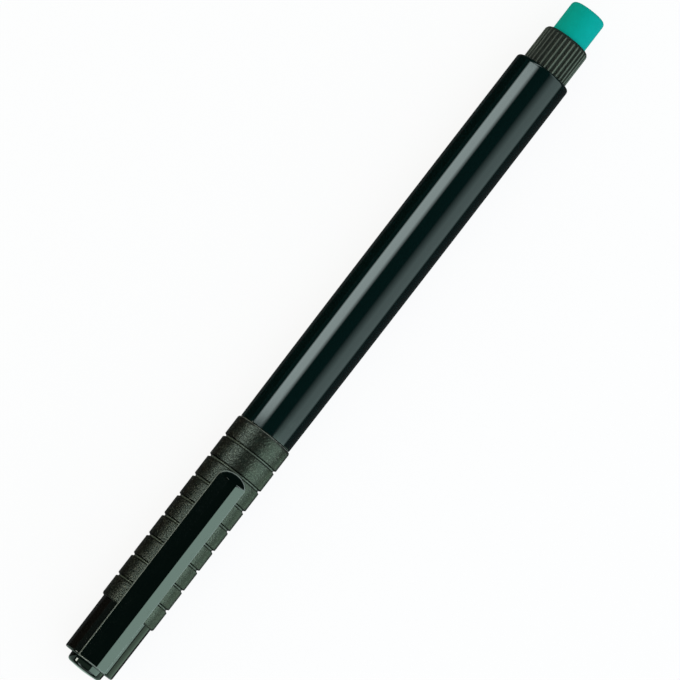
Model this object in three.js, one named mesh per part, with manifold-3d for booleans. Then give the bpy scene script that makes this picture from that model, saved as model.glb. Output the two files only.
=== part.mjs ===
// Pattern transfer pen with its cap on, lying along X with the clip up.
// Millimetres. Stations run along the axis, from the cap's end plug (0) to the eraser.
import * as THREE from "three";
import { mergeVertices } from "three/addons/utils/BufferGeometryUtils.js";
import Module from "manifold-3d";

const wasm = await Module();
wasm.setup();

// All turned pieces share this count, so that nested ones keep their clearance at every facet.
// Its flats are wide enough for the pen to lie still with the clip up.
const facets = 32;
const arcSteps = 4;

// Lengths that show from outside, from the end plug to the eraser
const plugHeadLength = 1.7;
const glossLength = 10.8;
const ribCount = 9;
const ribPitch = 4.256;
const mouthGap = 0.05;
const barrelLength = 78.5;
const collarLength = 7.0;
const eraserLength = 6.1;

// Outer radii
const plugHeadRadius = 3.45;
const glossEndRadius = 4.93;
const glossInnerRadius = 4.98;
const sleeveFrontRadius = 5.4;
const sleeveMouthRadius = 5.45;
const barrelFrontRadius = 5.14;
const barrelSwellRadius = 5.32;
const barrelRearRadius = 5.35;
const collarRadius = 4.38;
const eraserRadius = 3.38;

// Rounded edges
const plugEdge = 0.6;
const glossEdge = 0.35;
const sleeveFrontEdge = 0.35;
const mouthEdge = 0.5;
const barrelShoulder = 0.6;
const collarEdge = 0.85;
const eraserEdge = 0.8;

// Running and seating clearances, all measured along a radius
const seatClearance = 0.05;
const slideClearance = 0.07;

// Cap
const capBore = 4.05;
const capWallUnderSleeve = 0.6;
const capEndWall = 4.5;
const mouthChamfer = 0.25;
const plugShankRadius = 2.45;
const plugShankWaist = 0.15;
const plugShankGap = 0.2;

// Grooves between the ribs of the sleeve
const grooveHalfWidth = 0.32;
const grooveFloorHalfWidth = 0.1;
const grooveDepth = 0.38;
const ribEdge = 0.12;

// Inner seal cup of the cap
const sealLength = 23.3;
const sealBottom = 1.0;
const sealBore = 3.35;

// Clip: heights are measured from the pen's axis
const clipLength = 40.4;
const clipTopHeight = 7.6;
const clipShoulderHeight = 5.95;
const clipTopHalfWidth = 0.85;
const clipRootHalfWidth = 2.85;
const clipNoseHalfWidth = 2.7;
const clipNoseRound = 1.9;
const clipLipLength = 1.4;
const clipLipHeight = 6.3;
const clipLipFall = 0.15;
const clipStepSlant = 0.25;
const clipRootLength = 3.8;
const clipRootGap = 0.25;
const clipClothGap = 0.75;
const clipPadGap = 0.3;
const clipPadLength = 3.6;
const clipPadRamp = 1.4;
const clipPadLeadIn = 0.2;

// Tongue under the clip's root and the pocket in the cap that holds it
const tongueStart = 0.9;
const tongueLength = 2.4;
const tongueHalfWidth = 1.6;
const tongueDepth = 0.7;
const pocketClearance = 0.3;

// Barrel
const barrelBore = 4.25;
const barrelSwellAt = 37.5;
const barrelFrontEdge = 0.15;

// Grip section, which carries the nib and takes the cap
const spigotLength = 12.2;
const gripRadius = 3.85;
const gripLength = 17.6;
const snapRingAt = 3.0;
const snapRingWidth = 1.2;
const sectionTaper = 3.2;
const sealLandLength = 4.4;
const sectionNose = 3.2;
const sectionNoseRadius = 2.85;
const sectionInkBore = 1.5;

// Nib and its holder
const holderHeadLength = 4.2;
const holderHeadRadius = 2.6;
const holderTipRadius = 1.45;
const holderShankLength = 5.4;
const holderShankRadius = 2.2;
const nibRadius = 0.9;
const nibOut = 2.2;
const nibTaper = 0.8;
const nibTipRadius = 0.45;
const nibInCore = 6.4;

// Ink reservoir: a fibre core in a film
const reservoirGap = 0.3;
const coreRadius = 3.85;
const filmThickness = 0.2;

// Eraser collar: serrated, with a spigot in the barrel
const collarSpigotLength = 8.5;
const eraserSocketDepth = 8.2;
const serrationCount = 30;
const serrationDepth = 0.3;
const serrationHalfWidth = 0.2;

// Stations and radii that follow from the sizes above
const capEnd = plugHeadLength;
const sleeveStart = capEnd + glossLength;
const sleeveLength = ribCount * ribPitch;
const mouth = sleeveStart + sleeveLength;
const barrelStart = mouth + mouthGap;
const barrelEnd = barrelStart + barrelLength;
const collarEnd = barrelEnd + collarLength;
const eraserEnd = collarEnd + eraserLength;
const spigotRadius = barrelBore - seatClearance;
const gripStart = barrelStart - gripLength;
const sealLandStart = gripStart - sectionTaper - sealLandLength;
const sectionFront = sealLandStart - sectionNose;
const holderFront = sectionFront - holderHeadLength;
const reservoirStart = barrelStart + spigotLength + reservoirGap;
const reservoirEnd = barrelEnd - collarSpigotLength - reservoirGap;
const sealLandRadius = sealBore - slideClearance;
const capWallRadius = capBore + capWallUnderSleeve;
const axisHeight = sleeveMouthRadius * Math.cos(Math.PI / facets);

// Points on a quarter of an ellipse that starts at an angle in quarter turns.
// Along is the reach on the axis, out is the reach on the radius.
function corner(station, radius, along, out, startQuarter, direction) {
  const points = [];
  for (let step = 0; step <= arcSteps; step += 1) {
    const angle = (startQuarter + (direction * step) / arcSteps) * (Math.PI / 2);
    points.push([station + along * Math.cos(angle), radius + out * Math.sin(angle)]);
  }
  return points;
}

// Rounded outer edge where a piece begins, from its end face up to its side
function frontEdge(start, radius, size) {
  return corner(start + size, radius - size, size, size, 2, -1);
}

// Rounded outer edge where a piece ends, from its side down to its end face
function rearEdge(end, radius, size) {
  return corner(end - size, radius - size, size, size, 1, -1);
}

// Solid of revolution round X from pairs of station and radius, outer line first
function turned(profile) {
  const points = profile.map(([station, radius]) => new THREE.Vector2(radius, station));
  if (profile[0][1] > 0) {
    points.push(points[0].clone());
  }
  const geometry = new THREE.LatheGeometry(points, facets, Math.PI / facets);
  geometry.rotateZ(-Math.PI / 2);
  return geometry;
}

// Outline in the plane across the pen, drawn out along X
function extrudedAlong(outline, start, length) {
  const geometry = new THREE.ExtrudeGeometry(outline, { depth: length, bevelEnabled: false });
  const across = new THREE.Vector3(0, 1, 0);
  const up = new THREE.Vector3(0, 0, 1);
  const along = new THREE.Vector3(1, 0, 0);
  geometry.applyMatrix4(new THREE.Matrix4().makeBasis(across, up, along));
  geometry.translate(start, 0, 0);
  return geometry;
}

// Outline of stations and heights, drawn out to both sides of the pen
function extrudedAcross(outline, halfWidth) {
  const geometry = new THREE.ExtrudeGeometry(outline, { depth: 2 * halfWidth, bevelEnabled: false });
  geometry.rotateX(Math.PI / 2);
  geometry.translate(0, halfWidth, 0);
  return geometry;
}

// Outline seen from above, drawn out upwards
function extrudedUp(outline, height) {
  return new THREE.ExtrudeGeometry(outline, { depth: height, bevelEnabled: false });
}

function box(start, length, halfWidth, low, high) {
  const geometry = new THREE.BoxGeometry(length, 2 * halfWidth, high - low);
  geometry.translate(start + length / 2, 0, (low + high) / 2);
  return geometry;
}

// A closed mesh as a solid that can be joined and cut
function solidOf(geometry) {
  const bare = geometry.clone();
  bare.deleteAttribute("normal");
  bare.deleteAttribute("uv");
  const merged = mergeVertices(bare, 1e-4);
  const corners = merged.index.array;
  const kept = [];
  for (let at = 0; at < corners.length; at += 3) {
    const [a, b, c] = [corners[at], corners[at + 1], corners[at + 2]];
    if (a !== b && b !== c && c !== a) {
      kept.push(a, b, c);
    }
  }
  const mesh = new wasm.Mesh({
    numProp: 3,
    vertProperties: new Float32Array(merged.attributes.position.array),
    triVerts: new Uint32Array(kept),
  });
  return new wasm.Manifold(mesh);
}

// The solid's surface as a mesh again, with flat facets
function geometryOf(solid) {
  const mesh = solid.getMesh();
  const indexed = new THREE.BufferGeometry();
  indexed.setAttribute("position", new THREE.BufferAttribute(mesh.vertProperties, 3));
  indexed.setIndex(new THREE.BufferAttribute(mesh.triVerts, 1));
  const geometry = indexed.toNonIndexed();
  geometry.computeVertexNormals();
  return geometry;
}

function plastic(color, roughness) {
  return new THREE.MeshStandardMaterial({ color, roughness, metalness: 0 });
}

const glossCapPlastic = plastic(0x0b1210, 0.15);
const matteSleevePlastic = plastic(0x2c2e2a, 0.7);
const barrelPlastic = plastic(0x06181b, 0.12);
const collarPlastic = plastic(0x2b312c, 0.5);
const eraserRubber = plastic(0x009b8c, 0.8);
const sectionPlastic = plastic(0x15191a, 0.35);
const holderPlastic = plastic(0x1d2223, 0.4);
const nibFibre = plastic(0x3b5a78, 0.9);
const coreFibre = plastic(0x35587c, 0.95);
const filmPlastic = plastic(0xd8dcd9, 0.25);
const sealPlastic = plastic(0xc9ccc8, 0.5);

function named(name, geometry, material) {
  const mesh = new THREE.Mesh(geometry, material);
  mesh.name = name;
  return mesh;
}

// Small plug with a well rounded edge that closes the end of the cap
function capEndPlug() {
  const shankEnd = capEnd + capEndWall - plugShankGap;
  const waist = plugShankRadius - plugShankWaist;
  const ring = capEndWall / 5;
  const profile = [
    [0, 0],
    ...frontEdge(0, plugHeadRadius, plugEdge),
    [capEnd, plugHeadRadius],
    [capEnd, plugShankRadius],
    [capEnd + ring, plugShankRadius],
    [capEnd + ring + plugShankWaist, waist],
    [shankEnd - ring - plugShankWaist, waist],
    [shankEnd - ring, plugShankRadius],
    [shankEnd - plugShankWaist, plugShankRadius],
    [shankEnd, waist],
    [shankEnd, 0],
  ];
  return named("cap_end_plug", turned(profile), glossCapPlastic);
}

// Inner tube of the cap, glossy where the sleeve leaves it bare, with the pocket for the clip
function capBody() {
  const plugBore = plugShankRadius + seatClearance;
  const endWallInside = capEnd + capEndWall;
  const profile = [
    [capEnd, plugBore],
    ...frontEdge(capEnd, glossEndRadius, glossEdge),
    [sleeveStart, glossInnerRadius],
    [sleeveStart, capWallRadius],
    [mouth, capWallRadius],
    [mouth, capBore + mouthChamfer],
    [mouth - mouthChamfer, capBore],
    [endWallInside, capBore],
    [endWallInside, plugBore],
  ];
  const pocketFloor = glossEndRadius - tongueDepth - pocketClearance;
  const pocket = box(
    capEnd + tongueStart - pocketClearance,
    tongueLength + 2 * pocketClearance,
    tongueHalfWidth + pocketClearance,
    pocketFloor,
    clipTopHeight,
  );
  const solid = solidOf(turned(profile)).subtract(solidOf(pocket));
  return named("cap_body", geometryOf(solid), glossCapPlastic);
}

function sleeveRadius(station) {
  const share = (station - sleeveStart) / sleeveLength;
  return THREE.MathUtils.lerp(sleeveFrontRadius, sleeveMouthRadius, share);
}

// One groove of the sleeve: rounded rib edge, slanted wall, floor, and the same back up
function groove(station) {
  const crest = sleeveRadius(station);
  return [
    [station - grooveHalfWidth - ribEdge, crest],
    [station - grooveHalfWidth, crest - ribEdge / 2],
    [station - grooveFloorHalfWidth, crest - grooveDepth],
    [station + grooveFloorHalfWidth, crest - grooveDepth],
    [station + grooveHalfWidth, crest - ribEdge / 2],
    [station + grooveHalfWidth + ribEdge, crest],
  ];
}

// Matte ribbed outer sleeve of the cap
function capGripSleeve() {
  const bore = capWallRadius + seatClearance;
  const grooves = [];
  for (let rib = 1; rib < ribCount; rib += 1) {
    grooves.push(...groove(sleeveStart + rib * ribPitch));
  }
  const profile = [
    [sleeveStart, bore],
    ...frontEdge(sleeveStart, sleeveFrontRadius, sleeveFrontEdge),
    ...grooves,
    ...rearEdge(mouth, sleeveMouthRadius, mouthEdge),
    [mouth, bore],
  ];
  return named("cap_grip_sleeve", turned(profile), matteSleevePlastic);
}

// Cup inside the cap that closes over the nib and seals on the grip section
function capInnerSeal() {
  const start = capEnd + capEndWall;
  const end = start + sealLength;
  const outer = capBore - seatClearance;
  const profile = [
    [start, 0],
    [start, outer],
    [end, outer],
    [end, sealBore + slideClearance],
    [end - mouthChamfer, sealBore],
    [start + sealBottom, sealBore],
    [start + sealBottom, 0],
  ];
  return named("cap_inner_seal", turned(profile), sealPlastic);
}

// Roof-shaped section of the clip: narrow flat top, a wide bevel on each side, upright edges
function clipSection() {
  const outline = new THREE.Shape();
  outline.moveTo(-clipRootHalfWidth, 0);
  outline.lineTo(clipRootHalfWidth, 0);
  outline.lineTo(clipRootHalfWidth, clipShoulderHeight);
  outline.lineTo(clipTopHalfWidth, clipTopHeight);
  outline.lineTo(-clipTopHalfWidth, clipTopHeight);
  outline.lineTo(-clipRootHalfWidth, clipShoulderHeight);
  return extrudedAlong(outline, 0, clipLength);
}

// The clip seen from above: a slow taper to a nose that is half an ellipse
function clipPlan() {
  const round = clipLength - clipNoseRound;
  const quarter = Math.PI / 2;
  const outline = new THREE.Shape();
  outline.moveTo(0, -clipRootHalfWidth);
  outline.lineTo(round, -clipNoseHalfWidth);
  outline.absellipse(round, 0, clipNoseRound, clipNoseHalfWidth, -quarter, quarter, false);
  outline.lineTo(0, clipRootHalfWidth);
  return extrudedUp(outline, clipTopHeight);
}

// The clip seen from the side: level top, a steep step, then a low lip up to the tip
function clipSide() {
  const stepFoot = clipLength - clipLipLength;
  const outline = new THREE.Shape();
  outline.moveTo(0, 0);
  outline.lineTo(clipLength, 0);
  outline.lineTo(clipLength, clipLipHeight - clipLipFall);
  outline.lineTo(stepFoot, clipLipHeight);
  outline.lineTo(stepFoot - clipStepSlant, clipTopHeight);
  outline.lineTo(0, clipTopHeight);
  return extrudedAcross(outline, clipRootHalfWidth);
}

// Space that the clip leaves round the cap: close at the root and at the pad under the nose
function clipUnderside() {
  const rootRadius = glossEndRadius + clipRootGap;
  const clothRadius = sleeveMouthRadius + clipClothGap;
  const padRadius = sleeveMouthRadius + clipPadGap;
  const rootEnd = clipRootLength;
  const padStart = clipLength - clipPadLength;
  return turned([
    [-1, 0],
    [-1, rootRadius],
    [rootEnd, rootRadius],
    [rootEnd + clothRadius - rootRadius, clothRadius],
    [padStart - clipPadRamp, clothRadius],
    [padStart, padRadius],
    [clipLength - clipPadLeadIn, padRadius],
    [clipLength + clipPadLeadIn, padRadius + clipPadLeadIn],
    [clipLength + clipPadLeadIn, 0],
  ]);
}

// Clip, drawn from its own root, with the tongue that sits in the cap's pocket
function clip() {
  const tongue = box(
    tongueStart,
    tongueLength,
    tongueHalfWidth,
    glossEndRadius - tongueDepth,
    clipShoulderHeight,
  );
  const solid = solidOf(clipSection())
    .intersect(solidOf(clipPlan()))
    .intersect(solidOf(clipSide()))
    .subtract(solidOf(clipUnderside()))
    .add(solidOf(tongue));
  const mesh = named("clip", geometryOf(solid), glossCapPlastic);
  mesh.position.x = capEnd;
  return mesh;
}

// Long tube of the pen, which swells a little towards the rear and ends in a rounded shoulder
function barrel() {
  const swellStation = barrelStart + barrelSwellAt;
  const profile = [
    [barrelStart, barrelBore],
    [barrelStart, barrelFrontRadius - barrelFrontEdge],
    [barrelStart + barrelFrontEdge, barrelFrontRadius],
    [swellStation, barrelSwellRadius],
    ...rearEdge(barrelEnd, barrelRearRadius, barrelShoulder),
    [barrelEnd, barrelBore],
  ];
  return named("barrel", turned(profile), barrelPlastic);
}

// Front of the pen under the cap: spigot in the barrel, grip, sealing land and nose
function gripSection() {
  const ringEnd = barrelStart - snapRingAt;
  const ringStart = ringEnd - snapRingWidth;
  const ringRadius = capBore - slideClearance;
  const ringRise = ringRadius - gripRadius;
  const holderBore = holderShankRadius + seatClearance;
  const holderSeat = sectionFront + holderShankLength;
  const spigotEnd = barrelStart + spigotLength;
  const profile = [
    [sectionFront, holderBore],
    [sectionFront, sectionNoseRadius],
    [sealLandStart, sealLandRadius],
    [sealLandStart + sealLandLength, sealLandRadius],
    [gripStart, gripRadius],
    [ringStart - ringRise, gripRadius],
    [ringStart, ringRadius],
    [ringEnd, ringRadius],
    [ringEnd + ringRise, gripRadius],
    [barrelStart, gripRadius],
    [barrelStart, spigotRadius],
    [spigotEnd, spigotRadius],
    [spigotEnd, sectionInkBore],
    [holderSeat, sectionInkBore],
    [holderSeat, holderBore],
  ];
  return named("grip_section", turned(profile), sectionPlastic);
}

// Tapered holder that grips the nib and is pressed into the section
function nibHolder() {
  const bore = nibRadius + seatClearance;
  const profile = [
    [holderFront, bore],
    [holderFront, holderTipRadius],
    [sectionFront - holderHeadRadius / 4, holderHeadRadius],
    [sectionFront, holderHeadRadius],
    [sectionFront, holderShankRadius],
    [sectionFront + holderShankLength, holderShankRadius],
    [sectionFront + holderShankLength, bore],
  ];
  return named("nib_holder", turned(profile), holderPlastic);
}

// Fibre nib, one rod from the writing tip back into the ink core
function nib() {
  const tip = holderFront - nibOut;
  const profile = [
    [tip, 0],
    ...frontEdge(tip, nibTipRadius, nibTipRadius),
    [tip + nibTipRadius + nibTaper, nibRadius],
    [reservoirStart + nibInCore, nibRadius],
    [reservoirStart + nibInCore, 0],
  ];
  return named("nib", turned(profile), nibFibre);
}

// Fibre core that holds the ink, bored where the nib enters
function reservoirCore() {
  const bore = nibRadius + seatClearance;
  const boreEnd = reservoirStart + nibInCore + reservoirGap;
  const profile = [
    [reservoirStart, bore],
    [reservoirStart, coreRadius],
    [reservoirEnd, coreRadius],
    [reservoirEnd, 0],
    [boreEnd, 0],
    [boreEnd, bore],
  ];
  return named("reservoir_core", turned(profile), coreFibre);
}

// Film wrapped round the core
function reservoirFilm() {
  const inner = coreRadius + seatClearance;
  const profile = [
    [reservoirStart, inner],
    [reservoirStart, inner + filmThickness],
    [reservoirEnd, inner + filmThickness],
    [reservoirEnd, inner],
  ];
  return named("reservoir_film", turned(profile), filmPlastic);
}

// One V-shaped cutter for a serration, with its edge towards the axis. A ridge, not a groove, is at the top.
function serrationCutter(index) {
  const reach = collarRadius + serrationDepth;
  const outline = new THREE.Shape();
  outline.moveTo(0, collarRadius - serrationDepth);
  outline.lineTo(2 * serrationHalfWidth, reach);
  outline.lineTo(-2 * serrationHalfWidth, reach);
  const cutter = extrudedAlong(outline, barrelEnd, collarLength + 1);
  cutter.rotateX(((index + 0.5) * 2 * Math.PI) / serrationCount);
  return solidOf(cutter);
}

// Serrated collar at the rear, plugged into the barrel and bored for the eraser
function eraserCollar() {
  const spigotStart = barrelEnd - collarSpigotLength;
  const socket = eraserRadius + slideClearance;
  const socketFloor = collarEnd - eraserSocketDepth;
  const profile = [
    [spigotStart, 0],
    [spigotStart, spigotRadius],
    [barrelEnd, spigotRadius],
    [barrelEnd, collarRadius],
    ...rearEdge(collarEnd, collarRadius, collarEdge),
    [collarEnd, socket],
    [socketFloor, socket],
    [socketFloor, 0],
  ];
  let solid = solidOf(turned(profile));
  for (let index = 0; index < serrationCount; index += 1) {
    solid = solid.subtract(serrationCutter(index));
  }
  return named("eraser_collar", geometryOf(solid), collarPlastic);
}

// Eraser rod, seated on the floor of the collar's socket
function eraser() {
  const start = collarEnd - eraserSocketDepth;
  const profile = [
    [start, 0],
    [start, eraserRadius],
    ...rearEdge(eraserEnd, eraserRadius, eraserEdge),
    [eraserEnd, 0],
  ];
  return named("eraser", turned(profile), eraserRubber);
}

const cap = new THREE.Group();
cap.add(capEndPlug(), capBody(), capGripSleeve(), capInnerSeal(), clip());

const penBody = new THREE.Group();
penBody.add(barrel(), gripSection(), nibHolder(), nib(), reservoirCore(), reservoirFilm(), eraserCollar());

// The origin is under the middle of the pen, on the surface that it lies on
const group = new THREE.Group();
group.add(cap, penBody, eraser());
group.position.set(-eraserEnd / 2, 0, axisHeight);

export default group;
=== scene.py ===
import math

import bmesh
import bpy
from mathutils import Matrix, Vector

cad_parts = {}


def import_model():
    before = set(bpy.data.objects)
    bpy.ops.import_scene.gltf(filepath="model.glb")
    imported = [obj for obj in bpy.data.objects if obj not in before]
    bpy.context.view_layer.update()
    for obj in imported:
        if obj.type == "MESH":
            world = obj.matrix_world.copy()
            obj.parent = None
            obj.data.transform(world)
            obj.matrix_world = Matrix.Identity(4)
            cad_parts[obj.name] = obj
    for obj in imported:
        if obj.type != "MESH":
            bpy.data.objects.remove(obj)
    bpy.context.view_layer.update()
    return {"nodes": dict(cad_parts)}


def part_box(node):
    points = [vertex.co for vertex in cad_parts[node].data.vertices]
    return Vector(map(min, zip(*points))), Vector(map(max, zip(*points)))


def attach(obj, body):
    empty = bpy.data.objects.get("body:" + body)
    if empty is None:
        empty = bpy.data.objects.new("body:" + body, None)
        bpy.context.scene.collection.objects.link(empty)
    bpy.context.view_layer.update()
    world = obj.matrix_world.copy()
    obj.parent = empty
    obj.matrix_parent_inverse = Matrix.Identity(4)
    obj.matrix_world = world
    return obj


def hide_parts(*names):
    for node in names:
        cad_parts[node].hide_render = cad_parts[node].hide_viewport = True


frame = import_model()

MM = 0.001

# How the pen lies in the picture, in a frame of 680 x 680 pixels
picture_side = 680
pixels_per_mm = 5.86
pen_slope = math.radians(52.38)
middle_pixel = (337.6, 339.45)
lean_to_camera = math.radians(5.0)
roll_to_camera = math.radians(5.5)
lens_mm = 300
sensor_mm = 36

# Where the pieces begin and end along the pen, read from the frame
axis_height = (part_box("barrel")[0].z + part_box("barrel")[1].z) / 2
cap_start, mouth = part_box("cap_body")[0].x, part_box("cap_body")[1].x
sleeve_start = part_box("cap_grip_sleeve")[0].x
barrel_start, barrel_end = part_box("barrel")[0].x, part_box("barrel")[1].x
collar_start, collar_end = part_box("eraser_collar")[0].x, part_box("eraser_collar")[1].x
eraser_start, eraser_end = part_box("eraser")[0].x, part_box("eraser")[1].x
plug_start, plug_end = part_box("cap_end_plug")[0].x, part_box("cap_end_plug")[1].x
seal_start, seal_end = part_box("cap_inner_seal")[0].x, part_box("cap_inner_seal")[1].x
section_start, section_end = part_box("grip_section")[0].x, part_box("grip_section")[1].x
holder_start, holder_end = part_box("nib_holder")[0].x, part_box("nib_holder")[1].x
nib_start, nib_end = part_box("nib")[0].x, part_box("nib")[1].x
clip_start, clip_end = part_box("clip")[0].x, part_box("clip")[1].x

# Cap
plug_radius = 3.45 * MM
plug_face_radius = 3.36 * MM
plug_edge = 0.5 * MM
plug_dome = 0.25 * MM
plug_crown_radius = 0.55 * plug_face_radius
plug_crown_fall = 0.3 * plug_dome
plug_crown_round = 0.8 * MM
plug_shank = 2.45 * MM
plug_land = 0.9 * MM
plug_waist_depth = 0.15 * MM
plug_bore = 2.5 * MM
gloss_radius_end = 4.93 * MM
gloss_radius_step = 4.98 * MM
cap_wall_radius = 4.65 * MM
cap_bore = 4.05 * MM
cap_end_wall = 4.5 * MM
cap_end_edge = 0.35 * MM
lead_in = 0.25 * MM
sleeve_bore = 4.7 * MM
sleeve_front_edge = 0.4 * MM
sleeve_radius_front = 5.4 * MM
sleeve_radius_mouth = 5.45 * MM
rib_count = 9
rib_pitch = (mouth - sleeve_start) / rib_count
groove_half_width = 0.32 * MM
groove_floor = 0.1 * MM
groove_depth = 0.38 * MM
rib_edge = 0.06 * MM
mouth_edge = 0.5 * MM
seal_radius = 4.0 * MM
seal_bore = 3.35 * MM
seal_lead_rise = 0.07 * MM
seal_bottom = 1.0 * MM
seal_bottom_round = 0.6 * MM

# Pen body
barrel_radius_front = 5.14 * MM
barrel_radius_rear = 5.35 * MM
barrel_bore = 4.25 * MM
barrel_steps = 12
barrel_shoulder = 0.6 * MM
spigot_radius = 4.2 * MM
grip_radius = 3.85 * MM
grip_length = 17.6 * MM
snap_ring_at = 3.0 * MM
snap_ring_width = 1.2 * MM
snap_ring_radius = 3.98 * MM
seal_land_radius = 3.28 * MM
seal_land_length = 4.4 * MM
section_nose_radius = 2.85 * MM
section_nose_length = 3.2 * MM
section_slope_round = 0.6 * MM
ink_bore = 1.5 * MM
holder_shank_length = 5.4 * MM
holder_shank_bore = 2.25 * MM
holder_shank_radius = 2.2 * MM
holder_radius = 2.6 * MM
holder_tip_radius = 1.45 * MM
holder_tip_edge = 0.12 * MM
holder_land = 0.65 * MM
nib_radius = 0.9 * MM
nib_bore = 0.95 * MM
nib_tip_radius = 0.45 * MM
nib_tip_round = 0.4 * MM
nib_taper = 0.8 * MM

# Rear end
collar_radius = 4.38 * MM
collar_end_round = 0.85 * MM
collar_sharp_degrees = 55
eraser_socket = 3.45 * MM
eraser_radius = 3.38 * MM
eraser_end_round = 0.8 * MM
serration_count = 30
steps_per_serration = 12
serration_depth = 0.34 * MM
serration_share = 0.86
least_wall = 0.05 * MM

# Clip, with heights above the pen's axis
clip_top = 7.6 * MM
clip_shoulder = 5.95 * MM
clip_top_half = 0.85 * MM
clip_root_half = 2.82 * MM
clip_nose_half = 2.79 * MM
clip_nose_round = 1.9 * MM
clip_nose_steps = 28
clip_ridge_round = 0.05 * MM
clip_rim_round = 0.2 * MM
clip_lip_length = 1.4 * MM
clip_lip_height = 6.3 * MM
clip_lip_fall = 0.15 * MM
clip_step_slant = 0.25 * MM
clip_root_length = 3.8 * MM
clip_root_radius = 5.18 * MM
clip_cloth_radius = 6.2 * MM
clip_pad_radius = 5.75 * MM
clip_pad_length = 3.6 * MM
clip_pad_ramp = 1.4 * MM
clip_pad_round = 0.5 * MM
clip_pad_lead_in = 0.2 * MM
tongue_start = 0.9 * MM
tongue_length = 2.4 * MM
tongue_half = 1.6 * MM
tongue_depth = 0.7 * MM
pocket_clearance = 0.3 * MM
cut_margin = 1.0 * MM

# The clip's edges are rounded in turn, by how far up the lower of their two faces points
roof_faces = 0.5
step_faces = 0.1
side_faces = -0.1

# What all edges that are rounded have in common: an upper face that points up, and a bend
upper_face = 0.5
least_bend = 0.3

# Edge roundings that several pieces share
crisp_edge = 0.05 * MM
fine_edge = 0.1 * MM
moulded_edge = 0.15 * MM
soft_edge = 0.2 * MM
eased_edge = 0.3 * MM

# How finely the meshes are made, with distances in metres and angles in degrees or radians
round_steps = 128
rounding_segments = 6
smooth_below_degrees = 40
merge_gap = 1e-7
cut_merge_gap = 1e-6
flat_radians = 0.01
hair = 0.01 * MM


# Meshes


def finished(bm, name, sharp_angle=smooth_below_degrees):
    """The bmesh as an object, smooth apart from its sharp edges."""
    bmesh.ops.remove_doubles(bm, verts=bm.verts[:], dist=merge_gap)
    bmesh.ops.recalc_face_normals(bm, faces=bm.faces[:])
    mesh = bpy.data.meshes.new(name)
    bm.to_mesh(mesh)
    bm.free()
    mesh.shade_smooth()
    mesh.set_sharp_from_angle(angle=math.radians(sharp_angle))
    piece = bpy.data.objects.new(name, mesh)
    bpy.context.scene.collection.objects.link(piece)
    return piece


def evened(piece):
    """Lets large faces lead the shading, so that a rounded edge doesn't bend it."""
    even = piece.modifiers.new("even_shading", "WEIGHTED_NORMAL")
    even.keep_sharp = True
    return piece


def turned(profile, steps=round_steps):
    """A bmesh turned round the pen's axis from rows of x, radius and edge rounding."""
    bm = bmesh.new()
    corners = [bm.verts.new((x, 0, axis_height + radius)) for x, radius, _ in profile]
    for first, second in zip(corners, corners[1:]):
        bm.edges.new((first, second))
    if profile[0][1] > 0:
        bm.edges.new((corners[-1], corners[0]))
    for corner, (_, _, rounding) in zip(corners, profile):
        if rounding > 0:
            bmesh.ops.bevel(
                bm, geom=[corner], offset=rounding, offset_type="OFFSET",
                segments=rounding_segments, profile=0.5, affect="VERTICES", material=-1,
                clamp_overlap=True,
            )
    bmesh.ops.spin(
        bm, geom=bm.verts[:] + bm.edges[:], cent=(0, 0, axis_height), axis=(1, 0, 0),
        dvec=(0, 0, 0), angle=2 * math.pi, steps=steps, use_merge=True,
    )
    return bm


def slab(outline, thickness):
    """A bmesh drawn out along a vector from a flat outline of points."""
    bm = bmesh.new()
    face = bm.faces.new([bm.verts.new(point) for point in outline])
    drawn = bmesh.ops.extrude_face_region(bm, geom=[face])["geom"]
    moved = [item for item in drawn if isinstance(item, bmesh.types.BMVert)]
    bmesh.ops.translate(bm, verts=moved, vec=thickness)
    return bm


def block(low, high):
    """A bmesh box between two corners."""
    bm = bmesh.new()
    middle, size = (low + high) / 2, high - low
    place = Matrix.Translation(middle) @ Matrix.Diagonal((*size, 1))
    bmesh.ops.create_cube(bm, size=1, matrix=place)
    return bm


def combined(piece, operation, tool):
    """Joins, cuts or overlaps the piece with a tool shape, which is then removed."""
    change = piece.modifiers.new("change", "BOOLEAN")
    change.operation = operation
    change.solver = "EXACT"
    change.object = tool
    seen = piece.evaluated_get(bpy.context.evaluated_depsgraph_get())
    shape = bpy.data.meshes.new_from_object(seen)
    piece.modifiers.clear()
    piece.data = shape
    bpy.data.objects.remove(tool)
    return piece


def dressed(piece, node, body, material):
    """Stands the piece in for a CAD node, on its body and with its finish."""
    piece.data.materials.clear()
    piece.data.materials.append(material)
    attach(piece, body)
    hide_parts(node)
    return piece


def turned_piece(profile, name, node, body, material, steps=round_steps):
    """A whole piece turned round the pen's axis."""
    piece = evened(finished(turned(profile, steps), name))
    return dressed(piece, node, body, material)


# Shader maths


class Value:
    """One output socket, so that arithmetic on it adds Math nodes."""

    def __init__(self, shader, socket):
        self.shader = shader
        self.socket = socket

    def __add__(self, other):
        return self.shader.maths("ADD", self, other)

    def __sub__(self, other):
        return self.shader.maths("SUBTRACT", self, other)

    def __rsub__(self, other):
        return self.shader.maths("SUBTRACT", other, self)

    def __mul__(self, other):
        return self.shader.maths("MULTIPLY", self, other)

    __radd__ = __add__
    __rmul__ = __mul__


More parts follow.
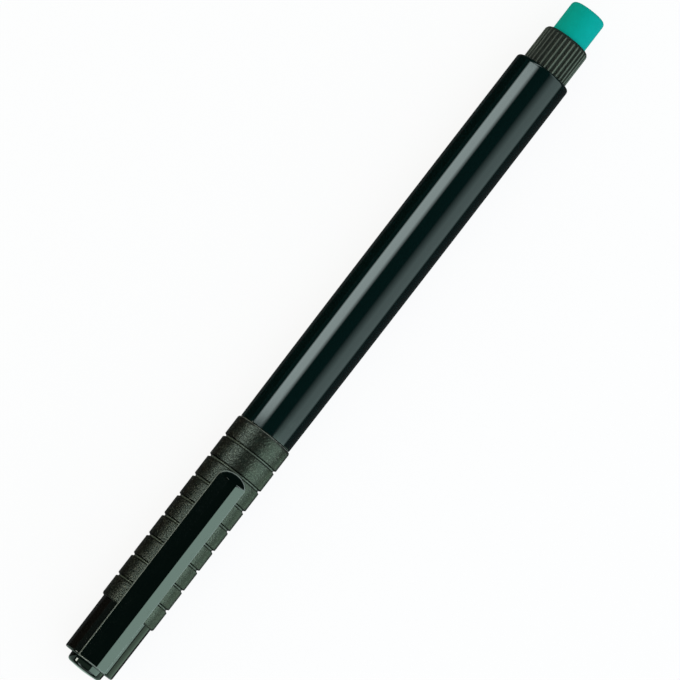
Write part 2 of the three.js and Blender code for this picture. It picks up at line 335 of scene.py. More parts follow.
class Shader:
    """The nodes of one material."""

    def __init__(self, name):
        self.material = bpy.data.materials.new(name)
        self.material.use_nodes = True
        self.tree = self.material.node_tree
        self.tree.nodes.clear()
        self.place = self.node("ShaderNodeTexCoord", output="Object")

    def node(self, kind, settings=None, values=None, output=0):
        """Adds a node: settings first, then a value or link for each socket."""
        made = self.tree.nodes.new(kind)
        for key, setting in (settings or {}).items():
            setattr(made, key, setting)
        for key, value in (values or {}).items():
            if isinstance(value, Value):
                self.tree.links.new(value.socket, made.inputs[key])
            else:
                made.inputs[key].default_value = value
        return Value(self, made.outputs[output])

    def maths(self, operation, first, second):
        """A Math node on two values or numbers."""
        return self.node("ShaderNodeMath", {"operation": operation}, {0: first, 1: second})

    def noise(self, size, detail=2.0, stretch=(1, 1, 1)):
        """Noise with features of a size in metres, longer along an axis that is stretched."""
        scale = [1 / (size * factor) for factor in stretch]
        placed = self.node("ShaderNodeMapping", None, {"Vector": self.place, "Scale": scale})
        return self.node("ShaderNodeTexNoise", None, {"Vector": placed, "Scale": 1, "Detail": detail})

    def ranged(self, value, low, high, to_low=0.0, to_high=1.0):
        """The value taken from one range to another and held inside it."""
        ends = {0: value, 1: low, 2: high, 3: to_low, 4: to_high}
        return self.node("ShaderNodeMapRange", {"clamp": True}, ends)

    def band(self, value, low, high, soft):
        """1 between two values and 0 outside them, with soft edges."""
        rise = self.ranged(value, low - soft, low)
        return rise * self.ranged(value, high, high + soft, 1.0, 0.0)

    def mixed(self, share, first, second):
        """A colour between two colours."""
        ends = {0: share, 6: first, 7: second}
        return self.node("ShaderNodeMix", {"data_type": "RGBA"}, ends, output=2)

    def attribute(self, name):
        """A number that the mesh carries on its faces."""
        return self.node("ShaderNodeAttribute", {"attribute_name": name}, output="Fac")

    def part(self, axis):
        """One coordinate of the place on the piece."""
        return self.node("ShaderNodeSeparateXYZ", None, {0: self.place}, output=axis)

    def radius(self):
        """Distance from the pen's axis."""
        centred = {"Vector": self.place, "Location": (0, 0, -axis_height), "Scale": (0, 1, 1)}
        across = self.node("ShaderNodeMapping", None, centred)
        return self.node("ShaderNodeVectorMath", {"operation": "LENGTH"}, {0: across}, "Value")

    def bumped(self, height, distance):
        """A normal that follows a relief of so many metres."""
        relief = {"Height": height, "Distance": distance, "Strength": 1.0}
        return self.node("ShaderNodeBump", None, relief)

    def ended(self, surface):
        """Puts a surface shader on the material's output."""
        out = self.tree.nodes.new("ShaderNodeOutputMaterial")
        self.tree.links.new(surface.socket, out.inputs["Surface"])
        return self.material

    def glowing(self, colour, strength):
        """A surface that only gives off light."""
        return self.ended(self.node("ShaderNodeEmission", None, {"Color": colour, "Strength": strength}))

    def plastic(self, colour, roughness, normal, **constants):
        """Principled surface: links where it varies, plain numbers where it doesn't."""
        values = {"Base Color": colour, "Roughness": roughness, "Normal": normal}
        for key, constant in constants.items():
            values[key.replace("_", " ")] = constant
        return self.ended(self.node("ShaderNodeBsdfPrincipled", None, values))


def rgb(red, green, blue):
    """A colour with full alpha, as the sockets take it."""
    return (red, green, blue, 1)


def barrel_plastic():
    """Polished blue-black plastic with faint moulding waves, smudges and hairlines."""
    s = Shader("barrel_plastic")
    waves = s.noise(6 * MM, stretch=(3, 1, 1))
    smudges = s.noise(3.5 * MM, detail=4)
    hairlines = s.noise(0.09 * MM, detail=1, stretch=(60, 1, 1))
    worn = s.ranged(hairlines, 0.68, 0.76) * s.ranged(smudges, 0.5, 0.65)
    colour = s.mixed(smudges, rgb(0.0004, 0.0047, 0.0043), rgb(0.0007, 0.0058, 0.0053))
    roughness = 0.05 + 0.04 * smudges + 0.10 * worn
    normal = s.bumped(waves - 0.2 * worn, 0.004 * MM)
    return s.plastic(colour, roughness, normal, IOR=1.5)


def cap_gloss_plastic(name, dark, light, rim=False):
    """Glossy green-black plastic of the cap's tube, plug and clip, with dull worn rims that are also
    painted lighter as a highlight.
    """
    s = Shader(name)
    waves = s.noise(4 * MM)
    smudges = s.noise(2.2 * MM, detail=4)
    scratches = s.noise(0.07 * MM, detail=1, stretch=(40, 1, 1))
    worn = s.ranged(scratches, 0.66, 0.74) * s.ranged(smudges, 0.48, 0.62)
    colour = s.mixed(smudges, dark, light)
    roughness = 0.05 + 0.03 * smudges + 0.10 * worn
    if rim:
        # The rims are made rougher as wear, and painted light grey-green as a painted highlight.
        wear_and_painted_highlight = s.attribute("rim") * s.ranged(s.noise(0.6 * MM, detail=3), 0.25, 0.55, 0.6, 1.0)
        colour = s.mixed(wear_and_painted_highlight, colour, rgb(0.165, 0.185, 0.165))
        roughness = roughness + 0.3 * wear_and_painted_highlight
    normal = s.bumped(waves - 0.2 * worn, 0.004 * MM)
    return s.plastic(colour, roughness, normal, IOR=1.5)


def sleeve_plastic():
    """Matte sleeve with a coarse spark-eroded grain, painted near black as shade in the walls of its
    grooves, painted light along the grooves' floors, and with a painted highlight on the mouth's edge.
    """
    s = Shader("matte_sleeve_plastic")
    grain = s.noise(0.34 * MM, detail=3)
    pits = s.ranged(grain, 0.40, 0.56, 1.0, 0.0)
    mottle = s.noise(0.9 * MM, detail=3)
    patches = s.noise(3 * MM, detail=2)
    tint = s.ranged(s.noise(1.4 * MM, detail=3), 0.38, 0.62)
    sparks = s.ranged(grain, 0.60, 0.68)
    tone = s.ranged(mottle + 1.8 * grain + 0.6 * patches, 1.45, 2.0)
    warm = s.mixed(tone, rgb(0.0036, 0.0029, 0.0021), rgb(0.0135, 0.0120, 0.0088))
    green = s.mixed(tone, rgb(0.0026, 0.0034, 0.0025), rgb(0.0100, 0.0128, 0.0094))
    ground = s.mixed(sparks, s.mixed(tint, warm, green), rgb(0.060, 0.064, 0.050))
    x = s.part(0)
    # A thin band at the mouth's edge is painted light, as a painted highlight along the rim.
    lip_width = 0.12 * MM
    lip = s.band(x, mouth - lip_width, mouth, 0.5 * lip_width) * s.ranged(mottle, 0.35, 0.5, 0.4, 1.0)
    wear_and_painted_highlight = s.mixed(lip, ground, rgb(0.19, 0.20, 0.17))
    grooved = s.band(x, sleeve_start + 0.5 * rib_pitch, mouth - 0.5 * rib_pitch, 0.05 * rib_pitch)
    turns = (x - sleeve_start) * (1 / rib_pitch) + 0.5
    past_groove = (s.maths("MODULO", turns, 1) - 0.5) * rib_pitch
    blur = 0.02 * MM
    # Painted shade: the groove walls are painted near black, the far wall darker than the near one. The
    # grooves' floors are painted light, as a painted light line.
    shaded_near_wall = s.band(past_groove, -groove_half_width, -groove_floor, blur) * grooved
    shaded_far_wall = s.band(past_groove, groove_floor, groove_half_width + 2 * blur, blur) * grooved
    lit_groove_floor = s.band(past_groove, -groove_floor, groove_floor, 1.5 * blur) * grooved
    shaded = s.mixed(0.6 * shaded_near_wall, wear_and_painted_highlight, rgb(0.0010, 0.0013, 0.0010))
    shaded = s.mixed(shaded_far_wall, shaded, rgb(0.0002, 0.0004, 0.0002))
    colour = s.mixed(lit_groove_floor, shaded, rgb(0.085, 0.100, 0.080))
    roughness = 0.19 + 0.08 * mottle + 0.16 * pits - 0.15 * shaded_far_wall
    normal = s.bumped(grain + 0.3 * mottle, 0.06 * MM)
    return s.plastic(colour, roughness, normal, IOR=1.46, Specular_Tint=rgb(0.96, 1.0, 0.86))


def collar_plastic():
    """Satin grey-green plastic, painted darker deep in its serrations as shade, and painted a darker
    brown on its +Y side as shade.
    """
    s = Shader("collar_plastic")
    grain = s.noise(0.12 * MM, detail=2)
    patches = s.noise(1.5 * MM, detail=3)
    # Painted shade: away from its crests, each serration is painted near black.
    crest = s.ranged((collar_radius - s.radius()) * (1 / serration_depth), 0.05, 0.45, 1.0, 0.0)
    # Painted light and shade: the side towards +Y is painted a darker brown, and the side towards -Y a
    # lighter green.
    left = s.ranged(s.part(1), -0.5 * MM, 2.5 * MM)
    green = s.mixed(patches, rgb(0.068, 0.085, 0.064), rgb(0.102, 0.125, 0.098))
    shaded_brown = s.mixed(patches, rgb(0.034, 0.037, 0.029), rgb(0.055, 0.058, 0.047))
    colour = s.mixed(crest, rgb(0.0015, 0.0022, 0.0015), s.mixed(left, green, shaded_brown))
    roughness = 0.36 + 0.12 * patches + 0.3 * (1 - crest)
    normal = s.bumped(grain, 0.005 * MM)
    return s.plastic(colour, roughness, normal, IOR=1.5, Specular_Tint=rgb(1.0, 1.0, 0.86))


def eraser_rubber():
    """Dull turquoise rubber with a fine tooth and a slightly worn end."""
    s = Shader("eraser_rubber")
    tooth = s.noise(0.11 * MM, detail=3)
    clouds = s.noise(1.6 * MM, detail=3)
    wear_and_painted_highlight = s.ranged(s.part(0), eraser_end - 0.9 * MM, eraser_end) * s.ranged(clouds, 0.4, 0.6)
    ground = s.mixed(clouds, rgb(0.0, 0.33, 0.27), rgb(0.0, 0.38, 0.32))
    colour = s.mixed(0.25 * wear_and_painted_highlight, ground, rgb(0.01, 0.22, 0.19))
    roughness = 0.62 + 0.16 * tooth
    normal = s.bumped(tooth + 0.5 * clouds, 0.008 * MM)
    return s.plastic(colour, roughness, normal, Specular_IOR_Level=0.03)


def section_plastic():
    """Smooth black-green plastic of the grip, lightly polished by fingers."""
    s = Shader("section_plastic")
    smudges = s.noise(2.5 * MM, detail=4)
    rings = s.noise(0.12 * MM, detail=1, stretch=(1, 30, 30))
    colour = s.mixed(smudges, rgb(0.007, 0.010, 0.010), rgb(0.013, 0.018, 0.018))
    roughness = 0.2 + 0.16 * smudges
    normal = s.bumped(rings, 0.002 * MM)
    return s.plastic(colour, roughness, normal, IOR=1.5)


def holder_plastic():
    """Satin dark plastic round the nib, stained by ink near its tip."""
    s = Shader("holder_plastic")
    grain = s.noise(0.1 * MM, detail=2)
    blots = s.noise(0.9 * MM, detail=4)
    near_tip = s.ranged(s.part(0), holder_start, holder_start + 1.6 * MM, 1.0, 0.0)
    stain = s.ranged(blots, 0.45, 0.6) * near_tip
    colour = s.mixed(stain, rgb(0.020, 0.024, 0.025), rgb(0.010, 0.030, 0.075))
    roughness = 0.36 + 0.15 * blots
    normal = s.bumped(grain, 0.003 * MM)
    return s.plastic(colour, roughness, normal, IOR=1.5)


def fibre(name, pale, inked, spread):
    """Pressed fibres that run along the pen, with ink soaked in unevenly."""
    s = Shader(name)
    strands = s.noise(0.05 * MM, detail=3, stretch=(25, 1, 1))
    soaked = s.ranged(s.noise(spread, detail=3), 0.35, 0.6)
    ground = s.mixed(soaked, pale, inked)
    colour = s.mixed(0.45 * strands, ground, rgb(0.015, 0.04, 0.09))
    roughness = 0.82 + 0.12 * strands
    normal = s.bumped(strands, 0.02 * MM)
    return s.plastic(colour, roughness, normal, IOR=1.4)


def seal_plastic():
    """Natural milky plastic of the inner cup, with a faint ink haze."""
    s = Shader("seal_plastic")
    haze = s.noise(2.4 * MM, detail=4)
    grain = s.noise(0.14 * MM, detail=2)
    colour = s.mixed(s.ranged(haze, 0.5, 0.75), rgb(0.60, 0.62, 0.60), rgb(0.44, 0.50, 0.56))
    roughness = 0.38 + 0.2 * haze
    normal = s.bumped(grain, 0.004 * MM)
    return s.plastic(colour, roughness, normal, Subsurface_Weight=0.15, Subsurface_Scale=0.4 * MM)


def film_plastic():
    """Thin film round the ink core, wrinkled along the pen."""
    s = Shader("film_plastic")
    wrinkles = s.noise(0.5 * MM, detail=3, stretch=(8, 1, 1))
    haze = s.noise(3 * MM, detail=3)
    colour = s.mixed(haze, rgb(0.78, 0.80, 0.79), rgb(0.66, 0.71, 0.74))
    roughness = 0.16 + 0.14 * haze
    normal = s.bumped(wrinkles, 0.02 * MM)
    return s.plastic(colour, roughness, normal, IOR=1.5)


# Pieces of the cap


def end_plug(material):
    """The plug: a low domed head, and a shank with a waist between two lands."""
    waist = plug_shank - plug_waist_depth
    front_land_end = cap_start + plug_land
    rear_land_start = plug_end - plug_land
    profile = [
        (plug_start, 0, 0),
        (plug_start + plug_crown_fall, plug_crown_radius, plug_crown_round),
        (plug_start + plug_dome, plug_face_radius, plug_edge),
        (cap_start, plug_radius, crisp_edge),
        (cap_start, plug_shank, 0),
        (front_land_end, plug_shank, 0),
        (front_land_end + plug_waist_depth, waist, 0),
        (rear_land_start - plug_waist_depth, waist, 0),
        (rear_land_start, plug_shank, 0),
        (plug_end - plug_waist_depth, plug_shank, 0),
        (plug_end, waist, 0),
        (plug_end, 0, 0),
    ]
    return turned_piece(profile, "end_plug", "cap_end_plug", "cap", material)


def cap_tube(material):
    """The cap's inner tube, with the pocket for the clip's tongue."""
    inside = cap_start + cap_end_wall
    profile = [
        (cap_start, plug_bore, 0),
        (cap_start, gloss_radius_end, cap_end_edge),
        (sleeve_start, gloss_radius_step, 0),
        (sleeve_start, cap_wall_radius, 0),
        (mouth, cap_wall_radius, crisp_edge),
        (mouth, cap_bore + lead_in, 0),
        (mouth - lead_in, cap_bore, 0),
        (inside, cap_bore, 0),
        (inside, plug_bore, 0),
    ]
    piece = finished(turned(profile), "cap_tube")
    reach = pocket_clearance
    floor_height = axis_height + gloss_radius_end - tongue_depth - reach
    low = Vector((clip_start + tongue_start - reach, -tongue_half - reach, floor_height))
    far = clip_start + tongue_start + tongue_length + reach
    high = Vector((far, tongue_half + reach, axis_height + clip_top))
    combined(piece, "DIFFERENCE", finished(block(low, high), "pocket"))
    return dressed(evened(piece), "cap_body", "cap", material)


def sleeve_radius(x):
    """The sleeve widens evenly towards the mouth."""
    share = (x - sleeve_start) / (mouth - sleeve_start)
    return sleeve_radius_front + share * (sleeve_radius_mouth - sleeve_radius_front)


def grip_sleeve(material):
    """The matte sleeve: nine ribs with a rounded groove between each two."""
    profile = [(sleeve_start, sleeve_bore, 0), (sleeve_start, sleeve_radius_front, sleeve_front_edge)]
    for rib in range(1, rib_count):
        x = sleeve_start + rib * rib_pitch
        crest = sleeve_radius(x)
        profile += [
            (x - groove_half_width, crest, rib_edge),
            (x - groove_floor, crest - groove_depth, rib_edge),
            (x + groove_floor, crest - groove_depth, rib_edge),
            (x + groove_half_width, crest, rib_edge),
        ]
    profile += [(mouth, sleeve_radius_mouth, mouth_edge), (mouth, sleeve_bore, 0)]
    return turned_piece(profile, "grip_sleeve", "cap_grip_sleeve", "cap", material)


def inner_seal(material):
    """The inner cup, which closes round the section's land."""
    profile = [
        (seal_start, 0, 0),
        (seal_start, seal_radius, soft_edge),
        (seal_end, seal_radius, fine_edge),
        (seal_end, seal_bore + seal_lead_rise, 0),
        (seal_end - lead_in, seal_bore, 0),
        (seal_start + seal_bottom, seal_bore, seal_bottom_round),
        (seal_start + seal_bottom, 0, 0),
    ]
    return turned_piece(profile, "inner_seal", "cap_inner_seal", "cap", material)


def clip_roof():
    """Roof-shaped bar as long as the clip."""
    half, top_half = clip_root_half, clip_top_half
    low, shoulder, top = axis_height, axis_height + clip_shoulder, axis_height + clip_top
    section = [
        (clip_start, -half, low),
        (clip_start, half, low),
        (clip_start, half, shoulder),
        (clip_start, top_half, top),
        (clip_start, -top_half, top),
        (clip_start, -half, shoulder),
    ]
    return slab(section, Vector((clip_end - clip_start, 0, 0)))


def clip_plan():
    """The clip seen from above: a slow taper and half an ellipse at the nose."""
    round_start = clip_end - clip_nose_round
    outline = [(clip_start, clip_root_half, axis_height), (clip_start, -clip_root_half, axis_height)]
    for step in range(clip_nose_steps + 1):
        angle = math.pi * (step / clip_nose_steps - 0.5)
        reach = round_start + clip_nose_round * math.cos(angle)
        outline.append((reach, clip_nose_half * math.sin(angle), axis_height))
    return slab(outline, Vector((0, 0, clip_top + cut_margin)))


def clip_side():
    """The clip seen from the side: level top, steep step, low lip."""
    step_foot = clip_end - clip_lip_length
    side = -clip_root_half - cut_margin
    low = axis_height - cut_margin
    lip, top = axis_height + clip_lip_height, axis_height + clip_top
    outline = [
        (clip_start - cut_margin, side, low),
        (clip_end + cut_margin, side, low),
        (clip_end + cut_margin, side, lip - clip_lip_fall * (1 + cut_margin / clip_lip_length)),
        (step_foot, side, lip),
        (step_foot - clip_step_slant, side, top),
        (clip_start - cut_margin, side, top),
    ]
    return slab(outline, Vector((0, -2 * side, 0)))


def clip_underside():
    """The space round the cap that the clip leaves free."""
    root_end = clip_start + clip_root_length
    pad_start = clip_end - clip_pad_length
    lead = clip_pad_lead_in
    return turned([
        (clip_start - cut_margin, 0, 0),
        (clip_start - cut_margin, clip_root_radius, 0),
        (root_end, clip_root_radius, 0),
        (root_end + clip_cloth_radius - clip_root_radius, clip_cloth_radius, 0),
        (pad_start - clip_pad_ramp, clip_cloth_radius, clip_pad_round),
        (pad_start, clip_pad_radius, clip_pad_round),
        (clip_end - lead, clip_pad_radius, 0),
        (clip_end + lead, clip_pad_radius + lead, 0),
        (clip_end + lead, 0, 0),
    ])


def rounded(bm, edges, size, segments=3):
    """Rounds the edges and gives back the new faces."""
    return bmesh.ops.bevel(
        bm, geom=edges, offset=size, offset_type="OFFSET", segments=segments,
        profile=0.5, affect="EDGES", material=-1, clamp_overlap=False,
    )["faces"]


def outer_edges(bm, lowest):
    """Convex edges round the upward faces whose other face points at least so far up."""
    found = []
    for edge in bm.edges:
        if len(edge.link_faces) != 2 or not edge.is_convex:
            continue
        lower, upper = sorted(face.normal.z for face in edge.link_faces)
        if upper > upper_face and lower >= lowest and edge.calc_face_angle() > least_bend:
            found.append(edge)
    return found


def clip(material):
    """The bevelled clip, with the tongue at its root that sits in the cap's pocket."""
    piece = finished(clip_roof(), "clip_bar")
    combined(piece, "INTERSECT", finished(clip_plan(), "plan"))
    combined(piece, "INTERSECT", finished(clip_side(), "side"))
    combined(piece, "DIFFERENCE", finished(clip_underside(), "underside"))
    near = clip_start + tongue_start
    far = near + tongue_length
    low = Vector((near, -tongue_half, axis_height + gloss_radius_end - tongue_depth))
    high = Vector((far, tongue_half, axis_height + clip_shoulder))
    combined(piece, "UNION", finished(block(low, high), "tongue"))
    bm = bmesh.new()
    bm.from_mesh(piece.data)
    bpy.data.objects.remove(piece)
    bmesh.ops.remove_doubles(bm, verts=bm.verts[:], dist=cut_merge_gap)
    bmesh.ops.dissolve_limit(bm, angle_limit=flat_radians, verts=bm.verts[:], edges=bm.edges[:])
    for lowest in (roof_faces, step_faces):
        rounded(bm, outer_edges(bm, lowest), clip_ridge_round)
    # Marks the rounded rim faces, which the clip's material paints lighter as a highlight.
    rim = bm.faces.layers.float.new("rim")
    for face in rounded(bm, outer_edges(bm, side_faces), clip_rim_round, segments=4):
        face[rim] = 1
    whole = evened(finished(bm, "pocket_clip"))
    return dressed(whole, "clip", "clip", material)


# Pieces of the pen body


def barrel_radius(share):
    """The barrel swells quickly behind the cap and then hardly at all."""
    swell = 1 - (1 - share) ** 3
    return barrel_radius_front + swell * (barrel_radius_rear - barrel_radius_front)


def barrel_tube(material):
    """The long barrel, swelling a little and rounded at its rear shoulder."""
    length = barrel_end - barrel_start
    profile = [(barrel_start, barrel_bore, 0), (barrel_start, barrel_radius_front, moulded_edge)]
    for step in range(1, barrel_steps):
        share = step / barrel_steps
        profile.append((barrel_start + share * length, barrel_radius(share), 0))
    profile += [(barrel_end, barrel_radius_rear, barrel_shoulder), (barrel_end, barrel_bore, 0)]
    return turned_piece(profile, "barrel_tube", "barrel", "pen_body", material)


def front_section(material):
    """The grip with its snap ring and sealing land, and the spigot that enters the barrel."""
    ring_end = barrel_start - snap_ring_at
    ring_start = ring_end - snap_ring_width
    ring_rise = snap_ring_radius - grip_radius
    land_start = section_start + section_nose_length
    seat = section_start + holder_shank_length
    profile = [
        (section_start, holder_shank_bore, 0),
        (section_start, section_nose_radius, soft_edge),
        (land_start, seal_land_radius, eased_edge),
        (land_start + seal_land_length, seal_land_radius, section_slope_round),
        (barrel_start - grip_length, grip_radius, section_slope_round),
        (ring_start - ring_rise, grip_radius, crisp_edge),
        (ring_start, snap_ring_radius, crisp_edge),
        (ring_end, snap_ring_radius, crisp_edge),
        (ring_end + ring_rise, grip_radius, crisp_edge),
        (barrel_start, grip_radius, 0),
        (barrel_start, spigot_radius, 0),
        (section_end, spigot_radius, moulded_edge),
        (section_end, ink_bore, 0),
        (seat, ink_bore, 0),
        (seat, holder_shank_bore, 0),
    ]
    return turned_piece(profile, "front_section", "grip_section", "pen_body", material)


def nib_cone(material):
    """The nib's holder: a cone outside the section and a shank in its bore."""
    profile = [
        (holder_start, nib_bore, 0),
        (holder_start, holder_tip_radius, holder_tip_edge),
        (section_start - holder_land, holder_radius, eased_edge),
        (section_start, holder_radius, crisp_edge),
        (section_start, holder_shank_radius, 0),
        (holder_end, holder_shank_radius, fine_edge),
        (holder_end, nib_bore, 0),
    ]
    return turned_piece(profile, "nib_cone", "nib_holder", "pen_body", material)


def nib_rod(material):
    """The fibre nib, tapered to a round tip, with its rod to the ink core."""
    taper_end = nib_start + nib_tip_radius + nib_taper
    profile = [
        (nib_start, 0, 0),
        (nib_start, nib_tip_radius, nib_tip_round),
        (taper_end, nib_radius, eased_edge),
        (nib_end, nib_radius, fine_edge),
        (nib_end, 0, 0),
    ]
    steps = round_steps // 2
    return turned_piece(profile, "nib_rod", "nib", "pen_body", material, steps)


# Pieces at the rear end


def serration_fall(angle):
    """The share of its depth that a serration has at an angle from straight up, where a ridge is."""
    share = (angle * serration_count / (2 * math.pi)) % 1
    nearness = 1 - abs(share - 0.5) / (serration_share / 2)
    return math.sin(max(nearness, 0) * math.pi / 2)


def serrated_collar(material):
    """The collar: a turned piece whose outer wall is then drawn in at each serration."""
    socket_floor = eraser_start
    profile = [
        (collar_start, 0, 0),
        (collar_start, spigot_radius, moulded_edge),
        (barrel_end, spigot_radius, 0),
        (barrel_end, collar_radius, 0),
        (collar_end, collar_radius, collar_end_round),
        (collar_end, eraser_socket, 0),
        (socket_floor, eraser_socket, 0),
        (socket_floor, 0, 0),
    ]
    bm = turned(profile, steps=serration_count * steps_per_serration)
    for vert in bm.verts:
        across = Vector((0, vert.co.y, vert.co.z - axis_height))
        if vert.co.x < barrel_end - hair or across.length < eraser_socket + 2 * least_wall:
            continue
        fall = serration_depth * serration_fall(math.atan2(across.y, across.z))
        depth = min(fall, across.length - eraser_socket - least_wall)
        vert.co -= across.normalized() * depth
    piece = evened(finished(bm, "serrated_collar", collar_sharp_degrees))
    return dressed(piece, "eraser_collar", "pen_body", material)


def eraser_rod(material):
    """The eraser, rounded where it rubs."""
    profile = [
        (eraser_start, 0, 0),
        (eraser_start, eraser_radius, soft_edge),
        (eraser_end, eraser_radius, eraser_end_round),
        (eraser_end, 0, 0),
    ]
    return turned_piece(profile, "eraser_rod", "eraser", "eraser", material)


def dress_hidden_nodes():
    """Finishes for the ink core and its film, whose CAD shapes stay as they are."""
    ink = fibre("core_fibre", rgb(0.28, 0.40, 0.55), rgb(0.06, 0.14, 0.30), 4 * MM)
    frame["nodes"]["reservoir_core"].material_slots[0].material = ink
    frame["nodes"]["reservoir_film"].material_slots[0].material = film_plastic()


# Studio, with distances in metres from the line on the floor under the pen. Left and right
# are the picture's, so left is towards +Y.

room_strength = 0.06
floor_radius = 12.0
floor_white_share = 0.9

# Cards just above the floor, beside the pen and beyond the closed end of its cap
card_height = 0.1 * MM
card_reach = 3.0
card_gap = 0.012
pale_reach = 0.12
front_start = -0.09
front_end = -0.0712
window_end = -0.02
dark_card_colour = rgb(0.02, 0.03, 0.025)

# Light panels curved round the pen, and an upright one
panel_steps = 48
strip_distance = 0.45
glow_distance = 0.46
side_distance = 0.6
side_reaches = {"cap": (-1.9, -0.36), "eraser": (0.22, 1.9)}
fill_distance = 0.8
fill_reach = (-1.5, 1.5)
front_panel_x = -0.5
front_panel_half = 0.12
left_light = rgb(0.824, 1.0, 0.985)
right_light = rgb(0.757, 1.0, 0.978)


def hidden_from_camera(piece, fill=False):
    """Hides a lamp or card. A fill lights only dull surfaces, the rest is seen only in gloss."""
    piece.visible_camera = False
    piece.visible_shadow = False
    piece.visible_diffuse = fill
    piece.visible_glossy = not fill
    piece.visible_transmission = not fill


def light_panel(
        name, angles, reach, strength, colour, fades=(0, 0), distance=strip_distance, fill=False):
    """A soft light, curved round the pen, between two angles from straight up towards -Y
    and two places along the pen. It may fade over some degrees at each angle."""
    start, end = [math.radians(angle) for angle in angles]
    bm = bmesh.new()
    turn = Matrix.Rotation(start, 4, "X")
    ends = [bm.verts.new(turn @ Vector((x, 0, distance))) for x in reach]
    edge = bm.edges.new(ends)
    bmesh.ops.spin(
        bm, geom=[*ends, edge], cent=(0, 0, 0), axis=(1, 0, 0), dvec=(0, 0, 0),
        angle=end - start, steps=panel_steps, use_merge=False,
    )
    panel = finished(bm, name)
    s = Shader(name)
    glow = strength
    if any(fades):
        angle = s.maths("ARCTAN2", 0 - s.part(1), s.part(2))
        fade_in, fade_out = [math.radians(fade) for fade in fades]
        risen = s.ranged(angle, start, start + fade_in)
        glow = risen * s.ranged(angle, end - fade_out, end, strength, 0.0)
    panel.data.materials.append(s.glowing(colour, glow))
    hidden_from_camera(panel, fill)


def floor():
    """White floor that takes the pen's shadow."""
    bm = bmesh.new()
    bmesh.ops.create_circle(bm, cap_ends=True, segments=96, radius=floor_radius)
    ground = finished(bm, "floor")
    s = Shader("white_floor")
    seen = s.node("ShaderNodeLightPath", output="Is Camera Ray")
    mirrored = s.node("ShaderNodeLightPath", output="Is Glossy Ray")
    through = s.node("ShaderNodeLightPath", output="Is Transmission Ray")
    share = s.ranged(seen + mirrored + through, 0, 1, 0, floor_white_share)
    cloth = s.node("ShaderNodeBsdfDiffuse", None, {"Color": rgb(0.95, 0.95, 0.95)})
    white = s.node("ShaderNodeEmission", None, {"Color": rgb(1, 1, 1), "Strength": 1})
    mix = s.node("ShaderNodeMixShader", None, {0: share, 1: cloth, 2: white})
    ground.data.materials.append(s.ended(mix))


def card(name, low, high, colour):
    """A coloured card beside the pen, seen only in its gloss, between two corners x, y."""
    bm = bmesh.new()
    middle = ((low[0] + high[0]) / 2, (low[1] + high[1]) / 2, card_height)
    size = Matrix.Diagonal((high[0] - low[0], high[1] - low[1], 1, 1))
    place = Matrix.Translation(middle) @ size
    bmesh.ops.create_grid(bm, x_segments=1, y_segments=1, size=0.5, matrix=place)
    sheet = finished(bm, name)
    sheet.data.materials.append(Shader(name).glowing(colour, 1))
    hidden_from_camera(sheet)


def studio():
    """Two broad lamps light the pen, and panels and cards are seen only in its gloss."""
    light_panel("left_strip", (-73, -26), (0.004, 0.128), 6.1, left_light, (6, 14))
    light_panel("left_front", (-81, -67), (-0.20, -0.105), 14, rgb(0.95, 1.0, 0.88), (3, 3))
    light_panel("right_strip", (16.5, 90), (0.0, 0.5), 1.75, right_light, (32, 9))
    light_panel("right_front", (24, 88), (-0.26, 0.0), 4.1, rgb(0.69, 1.0, 0.864), (3, 1))
    glow = rgb(0.55, 1.0, 0.75)
    light_panel("plug_glow", (-66, 20), (-0.26, -0.09), 0.35, glow, distance=glow_distance)
    for end, reach in side_reaches.items():
        light_panel(f"left_{end}_side", (-62, -32), reach, 3.2, left_light, (5, 12), side_distance)
        light_panel(f"right_{end}_side", (24, 72), reach, 1.9, right_light, (26, 9), side_distance)
    cream, pale_blue = rgb(1.0, 1.0, 0.8), rgb(0.88, 1.0, 1.15)
    light_panel("left_fill", (-89, 0), fill_reach, 0.75, cream, distance=fill_distance, fill=True)
    light_panel("right_fill", (0, 89), fill_reach, 1.25, pale_blue, distance=fill_distance, fill=True)
    far, gap = card_reach, card_gap
    card("left_card", (front_end, gap), (far, far), rgb(0.011, 0.011, 0.011))
    card("left_near_card", (front_end, -gap), (far, gap), rgb(0.055, 0.060, 0.060))
    card("front_card", (front_start, -far), (front_end, far), rgb(0.42, 0.58, 0.50))
    card("front_dark_card", (-far, -far), (front_start, far), dark_card_colour)
    card("pale_card", (front_end, -pale_reach), (window_end, -gap), rgb(0.57, 0.86, 0.64))
    card("dark_card", (front_end, -far), (window_end, -pale_reach), dark_card_colour)
    card("right_card", (window_end, -far), (far, -gap), rgb(0.060, 0.055, 0.055))


def front_panel():
    """An upright light beyond the closed end of the cap, seen only in the gloss."""
    bm = bmesh.new()
    upright = Matrix.Rotation(math.pi / 2, 4, "Y")
    place = Matrix.Translation((front_panel_x, 0, front_panel_half)) @ upright
    bmesh.ops.create_grid(bm, x_segments=1, y_segments=1, size=front_panel_half, matrix=place)
    panel = finished(bm, "front_panel")
    panel.data.materials.append(Shader("front_panel").glowing(rgb(0.80, 1.0, 0.90), 1.0))
    hidden_from_camera(panel)


def world():
    """A faint even light from all round."""
    room = bpy.data.worlds.new("studio")
    room.use_nodes = True
    background = room.node_tree.nodes["Background"]
    background.inputs["Color"].default_value = rgb(0.3, 1.0, 0.95)
    background.inputs["Strength"].default_value = room_strength
    bpy.context.scene.world = room


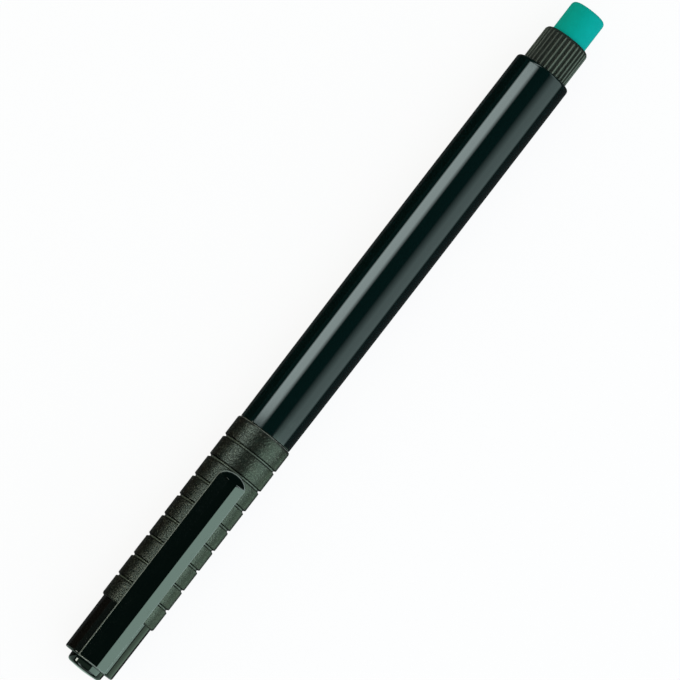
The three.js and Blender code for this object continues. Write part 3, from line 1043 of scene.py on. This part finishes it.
def camera():
    """Looks down on the pen, leaning to its cap and rolled to one side of the clip."""
    back = Vector((
        -math.sin(lean_to_camera),
        math.sin(roll_to_camera) * math.cos(lean_to_camera),
        math.cos(roll_to_camera) * math.cos(lean_to_camera),
    ))
    along = Vector((1, 0, 0))
    along = (along - back * along.dot(back)).normalized()
    side = back.cross(along)
    right = math.cos(pen_slope) * along - math.sin(pen_slope) * side
    up = math.sin(pen_slope) * along + math.cos(pen_slope) * side
    half = picture_side / 2
    from_centre = ((middle_pixel[0] - half) / pixels_per_mm, (half - middle_pixel[1]) / pixels_per_mm)
    target = Vector((0, 0, axis_height)) - from_centre[0] * MM * right - from_centre[1] * MM * up
    view_width = picture_side / pixels_per_mm * MM
    distance = view_width * lens_mm / sensor_mm
    data = bpy.data.cameras.new("camera")
    data.lens = lens_mm
    data.sensor_width = sensor_mm
    data.clip_start = 0.01
    data.clip_end = 50
    eye = bpy.data.objects.new("camera", data)
    turn = Matrix((right, up, back)).transposed().to_4x4()
    eye.matrix_world = Matrix.Translation(target + distance * back) @ turn
    bpy.context.scene.collection.objects.link(eye)
    bpy.context.scene.camera = eye


def pen():
    """All pieces with their materials."""
    black_green = rgb(0.0004, 0.0009, 0.0004), rgb(0.0010, 0.0017, 0.0009)
    black_brown = rgb(0.0034, 0.0031, 0.0024), rgb(0.0052, 0.0047, 0.0038)
    end_plug(cap_gloss_plastic("plug_gloss_plastic", *black_green))
    cap_tube(cap_gloss_plastic("tube_gloss_plastic", *black_brown))
    grip_sleeve(sleeve_plastic())
    inner_seal(seal_plastic())
    clip(cap_gloss_plastic("clip_gloss_plastic", *black_green, rim=True))
    barrel_tube(barrel_plastic())
    front_section(section_plastic())
    nib_cone(holder_plastic())
    nib_rod(fibre("nib_fibre", rgb(0.38, 0.46, 0.52), rgb(0.10, 0.22, 0.42), 1.2 * MM))
    serrated_collar(collar_plastic())
    eraser_rod(eraser_rubber())
    dress_hidden_nodes()


pen()
floor()
studio()
front_panel()
world()
camera()
bpy.context.scene.view_settings.view_transform = "Standard"
